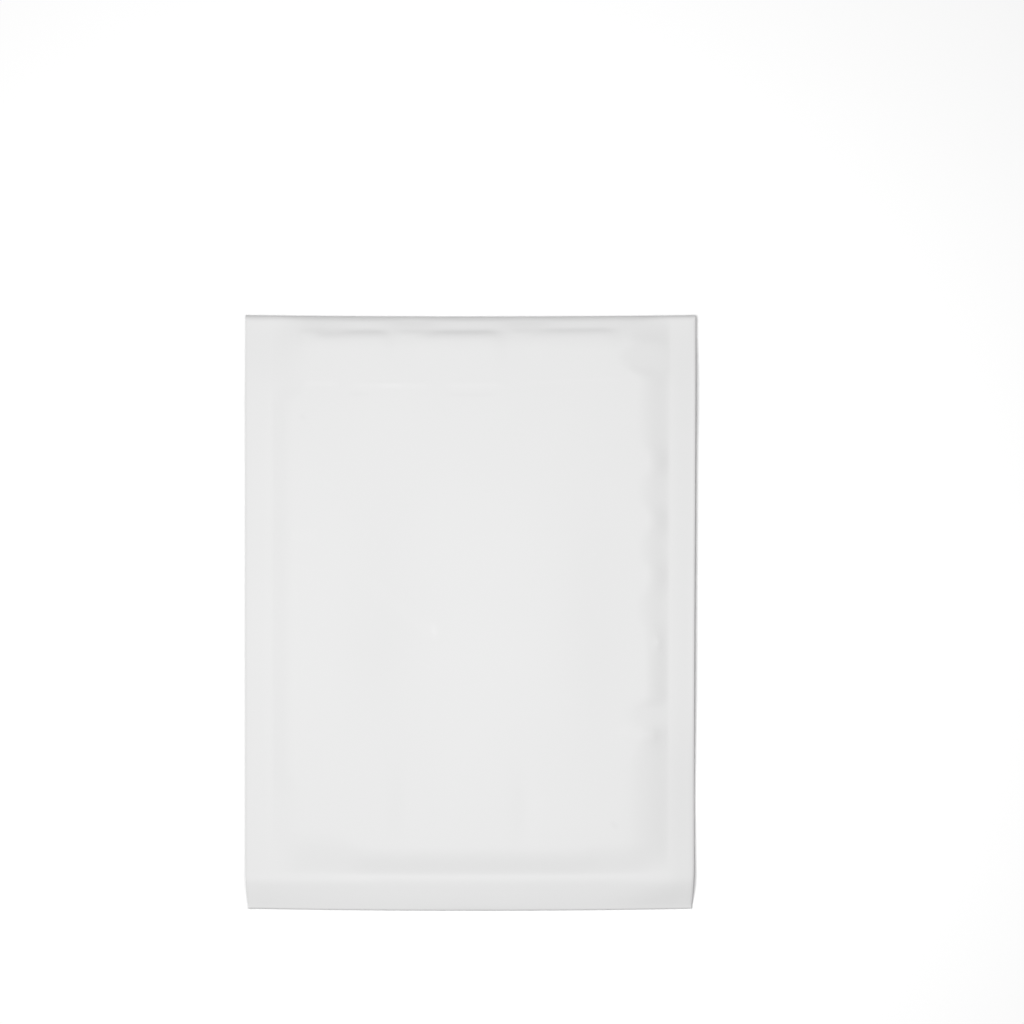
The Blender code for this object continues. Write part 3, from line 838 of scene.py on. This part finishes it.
@dataclass
class PaperCover:
    """The folded paper sheet, from the flap's tip round the front panel to the mouth."""

    shape: EnvelopeShape
    coarse_mm: float = 2.0
    fine_mm: float = 0.8
    edge_mm: float = 0.45
    crease_mm: float = 0.4
    hem_mm: float = 1.2
    plain_y: float = 80.0 * MM
    flap_band: float = 29.0 * MM
    flap_ledge: float = 3.4 * MM
    flap_corner_radius: float = 6.5 * MM
    flap_tip_width: float = 145.5 * MM
    edge_roll: float = 0.35 * MM
    edge_roll_width: float = 1.1 * MM
    flap_wave: float = 0.12 * MM
    flap_wave_length: float = 9.0 * MM
    flap_wave_reach: float = 30.0 * MM
    arc_facets: int = 12
    hem_facets: int = 8

    def columns(self) -> Array:
        """Places of the lines of points across the sheet, left to right."""
        s = self.shape
        rise = s.pad_half_width - 5.0 * MM
        foot = s.half_width - s.side_seam + 0.5 * MM
        roll = s.half_width - self.edge_roll_width
        half = np.concatenate([
            run(0.0, rise, self.coarse_mm * MM),
            run(rise, foot, self.fine_mm * MM),
            run(foot, roll, 2.0 * self.fine_mm * MM),
            run(roll, s.half_width, self.edge_mm * MM),
        ])
        return np.concatenate([-half[::-1], [0.0], half])

    def panel(self) -> Array:
        """Places of the lines of points along a panel, falling from the top fold to the bottom fold."""
        s = self.shape
        near = s.pad_high_y - 2.0 * MM
        low = s.pad_low_y + 2.0 * MM
        foot = s.bottom + s.bottom_seam - 3.0 * MM
        return np.concatenate([
            [s.fold_y],
            run(s.fold_y, near, self.crease_mm * MM),
            run(near, self.plain_y, self.fine_mm * MM),
            run(self.plain_y, low, self.coarse_mm * MM),
            run(low, foot, self.fine_mm * MM),
            run(foot, s.hem_y, self.hem_mm * MM),
        ])

    def flap_rows(self) -> tuple[Array, Array]:
        """Places along the flap and the flap's half width at each, from the tip to the fold."""
        s = self.shape
        ledge_y = s.top - self.flap_band
        tip = Vector((self.flap_tip_width / 2.0, s.flap_tip_y))
        centre = Vector((s.half_width - self.flap_ledge, ledge_y - self.flap_corner_radius))
        reach = tip - centre
        end = math.atan2(reach.y, reach.x) - math.acos(self.flap_corner_radius / reach.length)
        end %= 2.0 * math.pi
        arc = np.linspace(end, math.pi / 2.0, 10)
        arc_y = centre.y + self.flap_corner_radius * np.sin(arc)
        arc_half = centre.x + self.flap_corner_radius * np.cos(arc)
        slant_y = np.concatenate([[tip.y], run(tip.y, arc_y[0], 2.0 * MM)[:-1]])
        slant_half = np.interp(slant_y, [tip.y, arc_y[0]], [tip.x, arc_half[0]])
        band_low = ledge_y + 0.05 * MM
        band_y = np.concatenate([[band_low], run(band_low, s.fold_y, 2.4 * MM)[:-1]])
        band_half = np.full_like(band_y, s.half_width)
        return (
            np.concatenate([slant_y, arc_y, band_y]),
            np.concatenate([slant_half, arc_half, band_half]),
        )

    def edge_drop(self, x: Array) -> Array:
        """How far the paper's cut side edges roll down."""
        near = np.clip(1.0 - (self.shape.half_width - np.abs(x)) / self.edge_roll_width, 0.0, 1.0)
        return self.edge_roll * near**2

    def fold(self, stretch: Stretch, x: Array, value: Array, half: Array | None) -> tuple[Array, ...]:
        """Where points of one stretch of the flat sheet lie once it is folded.

        Args:
            stretch: Which stretch they are on.
            x: Places across the full-width sheet.
            value: Places along the envelope, or angles round a fold.
            half: Half width of the flap there; None on the other stretches.

        Returns:
            x, y and z of each point.
        """
        s = self.shape
        top_x, top_y = s.outline(x, np.full_like(x, s.top))
        if stretch is Stretch.FLAP:
            wave = self.flap_wave * np.sin(x / self.flap_wave_length)
            wave = wave * ease((s.fold_y - value) / self.flap_wave_reach)
            return x * half / s.half_width, value + top_y - s.top, np.maximum(wave, 0.0)
        if stretch is Stretch.TOP_FOLD:
            y = s.fold_y + s.fold_radius * np.cos(value)
            z = s.fold_radius * (1.0 + np.sin(value))
            rise = s.front_level(x, y) - 2.0 * s.fold_radius
            return top_x, y + top_y - s.top, z + np.where(value > 0.0, rise, 0.0)
        if stretch is Stretch.FRONT:
            px, py = s.outline(x, value)
            return px, py, s.front_level(x, value) - self.edge_drop(x)
        if stretch is Stretch.BOTTOM_FOLD:
            radius = s.seam / 2.0
            hem_y = np.full_like(x, s.hem_y)
            px, py = s.outline(x, hem_y)
            middle = s.seam_middle(x, hem_y)
            return px, py - radius * np.sin(value), middle + radius * np.cos(value)
        px, py = s.outline(x, value)
        return px, py, s.back_level(x, value)

    def build(self, material: Material) -> None:
        """Model the cover.

        Args:
            material: The white paper.
        """
        s = self.shape
        columns = self.columns()
        flap_y, flap_half = self.flap_rows()
        fold = np.linspace(-math.pi / 2.0, math.pi / 2.0, self.arc_facets + 1)[:-1]
        front = self.panel()
        hem = np.linspace(0.0, math.pi, self.hem_facets + 1)[1:-1]
        stretches = {
            Stretch.FLAP: flap_y,
            Stretch.TOP_FOLD: fold,
            Stretch.FRONT: front,
            Stretch.BOTTOM_FOLD: hem,
            Stretch.BACK: front[::-1],
        }
        count = sum(len(values) for values in stretches.values())
        obj, column, row = add_grid("folded_cover", len(columns), count)
        x = columns[column]
        points = [np.empty(len(x)) for _ in range(3)]
        first = {}
        begin = 0
        for stretch, values in stretches.items():
            first[stretch] = begin
            here = (row >= begin) & (row < begin + len(values))
            place = row[here] - begin
            half = flap_half[place] if stretch is Stretch.FLAP else None
            for total, part in zip(points, self.fold(stretch, x[here], values[place], half)):
                total[here] = part
            begin += len(values)
        set_points(obj, *points)
        front_y = np.full(count, 2.0 * s.bottom)
        front_y[first[Stretch.TOP_FOLD] : first[Stretch.FRONT]] = s.fold_y + s.fold_radius * np.cos(fold)
        front_y[first[Stretch.FRONT] : first[Stretch.BOTTOM_FOLD]] = front
        # Painted light and shade, with the grey specks, go into a point attribute that the paper's
        # finish reads
        painted_light_and_speck = obj.data.attributes.new("painted_light_and_speck", "FLOAT", "POINT")
        painted_light_and_speck.data.foreach_set("value", s.painted_light_and_speck_tone(x, front_y[row]))
        self.close_sides(obj, column, row, first, count)
        thicken(obj, s.paper, -1.0)
        finish_piece(obj, material, "white_paper", "paper_cover")

    @staticmethod
    def close_sides(
        obj: Object, column: Array, row: Array, first: dict[Stretch, int], count: int
    ) -> None:
        """Join the front and back panels along both side edges, as the pressed seams do.

        Args:
            obj: The folded sheet.
            column: Each vertex's column.
            row: Each vertex's row.
            first: First row of each stretch.
            count: Number of rows.
        """
        bm = bmesh.new()
        bm.from_mesh(obj.data)
        bmesh.ops.reverse_faces(bm, faces=bm.faces)
        bm.verts.ensure_lookup_table()
        for side in (0, int(column.max())):
            line = np.full(count, -1)
            on = column == side
            line[row[on]] = np.nonzero(on)[0]
            front = list(range(first[Stretch.FRONT], first[Stretch.BOTTOM_FOLD]))
            back = list(range(count - 1, first[Stretch.BACK] - 1, -1))
            rounds = [(front[i], front[i + 1], back[i + 1], back[i]) for i in range(len(front) - 1)]
            rounds.append(tuple(range(front[-1], first[Stretch.BACK] + 1)))
            for loop in rounds:
                order = loop if side else loop[::-1]
                bm.faces.new([bm.verts[int(line[j])] for j in order])
        bm.to_mesh(obj.data)
        bm.free()


@dataclass
class BubblePouch:
    """The pouch of bubble film in the cover: round bubbles outside, a closed smooth pocket inside."""

    shape: EnvelopeShape
    spacing_mm: float = 1.2
    film: float = 0.4 * MM
    pocket_gap: float = 0.8 * MM
    pocket_wall: float = 1.5 * MM
    from_fold: float = 9.5 * MM
    ramp: float = 65.0 * MM
    bubbles_across: int = 9
    bubble_spacing: float = 1.8 * MM
    bubble_side: float = 2.4 * MM

    def __post_init__(self) -> None:
        """Work out the pouch's own sizes."""
        s = self.shape
        self.top = s.top - self.from_fold
        self.pitch = 2.0 * s.pad_half_width / self.bubbles_across
        self.radius = (self.pitch - self.bubble_spacing) / 2.0

    def middle(self, y: Array) -> Array:
        """Height of the middle of the pocket."""
        s = self.shape
        raised = (s.pad_thickness + s.pad_rise_over_flap + s.stack) / 2.0
        return mix(s.pad_thickness / 2.0, raised, ease(1.0 - (self.top - y) / self.ramp))

    def bubbles(self, x: Array, y: Array) -> Array:
        """How far the film has risen into bubbles.

        Args:
            x: Places across.
            y: Places along.

        Returns:
            0 between the bubbles and 1 on their flat caps, for whole bubbles only.
        """
        s = self.shape
        row_step = self.pitch * math.sqrt(3.0) / 2.0
        low = s.pad_low_y + self.pitch / math.sqrt(3.0)
        risen = np.zeros_like(x)
        for shift in (-1, 0, 1):
            row = np.rint((y - low) / row_step) + shift
            offset = np.where(row % 2 == 0, self.pitch / 2.0, 0.0)
            column = np.rint((x - offset) / self.pitch)
            cx, cy = column * self.pitch + offset, low + row * row_step
            whole = (np.abs(cx) < s.pad_half_width - self.radius) & (row >= 0)
            whole &= cy < self.top - self.radius
            near = self.radius - np.hypot(x - cx, y - cy)
            risen = np.maximum(risen, np.where(whole, np.sqrt(ease(near / self.bubble_side)), 0.0))
        return risen

    def wall(self, x: Array, y: Array, side: float) -> Array:
        """Height of the outer face of one wall.

        Args:
            x: Places across.
            y: Places along.
            side: 1 for the front wall and -1 for the back wall.

        Returns:
            The height of the wall's outer face at each point.
        """
        s = self.shape
        cover = s.front_level(x, y) if side > 0 else s.back_level(x, y)
        limit = side * cover - s.paper - s.clearance
        share = ease((s.half_width - s.side_seam - np.abs(x)) / (0.7 * s.side_slope))
        share = share * ease((y - s.bottom - s.bottom_seam) / (0.7 * s.bottom_slope))
        pressed = side * s.seam_middle(x, y) + s.pressed_film / 2.0
        flat = mix(pressed, side * self.middle(y) + self.pocket_gap / 2.0 + self.film, share)
        return side * np.minimum(mix(flat, limit, self.bubbles(x, y)), np.maximum(limit, pressed))

    def build(self, material: Material) -> None:
        """Model the pouch.

        Args:
            material: The clear film.
        """
        s = self.shape
        inset = s.paper + s.clearance
        half = run(0.0, s.half_width - inset, self.spacing_mm * MM)
        xs = np.concatenate([-half[::-1], [0.0], half])
        ys = np.concatenate([[s.hem_y], run(s.hem_y, self.top, self.spacing_mm * MM)])
        halves = []
        for side in (-1.0, 1.0):
            obj, column, row = add_grid("pouch_wall", len(xs), len(ys))
            x, y = xs[column], ys[row]
            px, py = s.outline(x, y)
            set_points(obj, px, py, self.wall(x, y, side))
            halves.append(obj)
        obj = self.join_walls(halves)
        cutter = self.pocket_cutter()
        pick(obj)
        cut = obj.modifiers.new("Pocket", "BOOLEAN")
        cut.operation = "DIFFERENCE"
        cut.object = cutter
        bpy.ops.object.modifier_apply(modifier=cut.name)
        bpy.data.objects.remove(cutter, do_unlink=True)
        finish_piece(obj, material, "bubble_film", "bubble_lining")

    @staticmethod
    def join_walls(halves: list[Object]) -> Object:
        """Join both walls into one closed body.

        Args:
            halves: The back wall and the front wall.

        Returns:
            The joined object.
        """
        pick(halves[1])
        halves[0].select_set(True)
        bpy.ops.object.join()
        obj = bpy.context.object
        bpy.ops.object.mode_set(mode="EDIT")
        bpy.ops.mesh.select_all(action="DESELECT")
        bpy.ops.mesh.select_non_manifold()
        bpy.ops.mesh.bridge_edge_loops()
        bpy.ops.mesh.select_all(action="SELECT")
        bpy.ops.mesh.normals_make_consistent(inside=False)
        bpy.ops.object.mode_set(mode="OBJECT")
        obj.name = obj.data.name = "bubble_pouch"
        return obj

    def pocket_cutter(self) -> Object:
        """The closed pocket between the walls, open at the mouth."""
        s = self.shape
        half = s.pad_half_width - self.pocket_wall
        low = s.pad_low_y + self.pocket_wall
        xs = np.concatenate([[-half], run(-half, half, 8.0 * MM)])
        ys = np.concatenate([[low], run(low, self.top, 4.0 * MM), [self.top + self.pocket_wall]])
        obj, column, row = add_grid("pocket_cutter", len(xs), len(ys))
        x, y = xs[column], ys[row]
        px, py = s.outline(x, y)
        set_points(obj, px, py, self.middle(y))
        thicken(obj, self.pocket_gap, 0.0)
        return obj


@dataclass(frozen=True)
class Studio:
    """Pale floor, soft overhead light and the camera that looks straight down."""

    floor_size: float = 6.0
    floor_drop: float = 0.05 * MM
    camera_height: float = 2.2
    camera_x: float = 15.7 * MM
    camera_y: float = 38.15 * MM
    view_width: float = 386.6 * MM
    seam_height: float = 4.0 * MM
    sensor: float = 36.0

    def build(self) -> None:
        """Make the whole stage."""
        self.make_floor()
        self.make_lights()
        self.make_world()
        self.make_camera()
        bpy.context.scene.view_settings.view_transform = "Standard"

    def make_floor(self) -> None:
        """A wide pale table top."""
        deselect()
        bpy.ops.mesh.primitive_plane_add(size=self.floor_size, location=(0.0, 0.0, -self.floor_drop))
        floor = bpy.context.object
        floor.name = "table_top"
        material, board, shader = start_material("pale_table")
        board.fill(shader, Base_Color=(0.8, 0.8, 0.8, 1.0), Roughness=0.9, Specular_IOR_Level=0.1)
        bright = board.add("ShaderNodeBsdfDiffuse", Color=WHITE)
        lift = board.add("ShaderNodeEmission", Strength=0.12)
        both = board.add("ShaderNodeAddShader")
        board.give(both.inputs[0], bright.outputs[0])
        board.give(both.inputs[1], lift.outputs[0])
        path = board.add("ShaderNodeLightPath").outputs
        seen = board.math("MAXIMUM", path["Is Camera Ray"], path["Is Glossy Ray"])
        seen = board.math("MAXIMUM", seen, path["Is Transmission Ray"])
        either = board.add("ShaderNodeMixShader", Fac=seen)
        board.give(either.inputs[1], shader.outputs[0])
        board.give(either.inputs[2], both.outputs[0])
        board.fill(material.node_tree.nodes["Material Output"], Surface=either.outputs[0])
        floor.data.materials.append(material)

    def make_lights(self) -> None:
        """A far soft box towards the left, and a nearer one right above the padding."""
        self.add_light("key_box", (-0.76, 0.26, 3.9), 1.3, 77.2)
        self.add_light("top_box", (-0.02, -0.01, 0.49), 0.22, 1.0)

    @staticmethod
    def add_light(name: str, place: tuple[float, float, float], size: float, power: float) -> None:
        """Add a square area light that points at the envelope.

        Args:
            name: The light's name.
            place: Where it hangs.
            size: Its side length in metres.
            power: Its power in watts.
        """
        data = bpy.data.lights.new(name, "AREA")
        data.shape = "SQUARE"
        data.size = size
        data.energy = power
        light = bpy.data.objects.new(name, data)
        light.location = place
        light.rotation_euler = (-Vector(place)).to_track_quat("-Z", "Y").to_euler()
        light.visible_camera = False
        bpy.context.scene.collection.objects.link(light)

    def make_world(self) -> None:
        """An even pale surround, white where the camera sees it."""
        world = bpy.data.worlds.new("surround")
        bpy.context.scene.world = world
        world.use_nodes = True
        board = NodeBoard(world.node_tree)
        path = board.add("ShaderNodeLightPath").outputs
        strength = board.math("MULTIPLY_ADD", path["Is Camera Ray"], 0.85, 0.15)
        board.fill(world.node_tree.nodes["Background"], Color=WHITE, Strength=strength)

    def make_camera(self) -> None:
        """A long lens straight above, framed as the photograph is."""
        data = bpy.data.cameras.new("camera")
        data.type = "PERSP"
        data.sensor_width = self.sensor
        data.lens = self.sensor * (self.camera_height - self.seam_height) / self.view_width
        data.clip_end = 10.0
        camera = bpy.data.objects.new("camera", data)
        camera.location = (self.camera_x, self.camera_y, self.camera_height)
        bpy.context.scene.collection.objects.link(camera)
        bpy.context.scene.camera = camera


def dress_node(name: str, material: Material) -> None:
    """Give a node of the frame its finish.

    Args:
        name: The node.
        material: The finish.
    """
    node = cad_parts[name]
    for holder in node.material_slots:
        holder.material = material
    LOG.info("%s dressed", name)


def main() -> None:
    """Build every piece in order, then the stage."""
    logging.basicConfig(level=logging.INFO, format="%(message)s")
    stock = paper_stock_group()
    white = PaperFinish(
        "white_paper_stock", (0.815, 0.815, 0.815), 0.72, 0.006, 0.25, printed=True, painted_light_and_speck_depth=0.045
    ).build(stock)
    liner = PaperFinish("siliconed_paper", (0.74, 0.75, 0.76), 0.42, 0.012, 0.15).build(stock)
    film = FilmFinish("clear_bubble_film", (0.86, 0.88, 0.90), 0.2, 0.6, 0.2).build()
    tape = FilmFinish(
        "glossy_film_tape", (0.80, 0.81, 0.82), 0.14, 0.0, 0.3, marks_y=98.8 * MM
    ).build()
    glue = FilmFinish("hot_melt", (0.78, 0.72, 0.52), 0.3, 0.2, 0.5).build()
    shape = EnvelopeShape()
    PaperCover(shape).build(white)
    BubblePouch(shape).build(film)
    dress_node("adhesive_strip", glue)
    dress_node("release_liner", liner)
    dress_node("reopen_tape", tape)
    Studio().build()


if __name__ == "__main__":
    main()
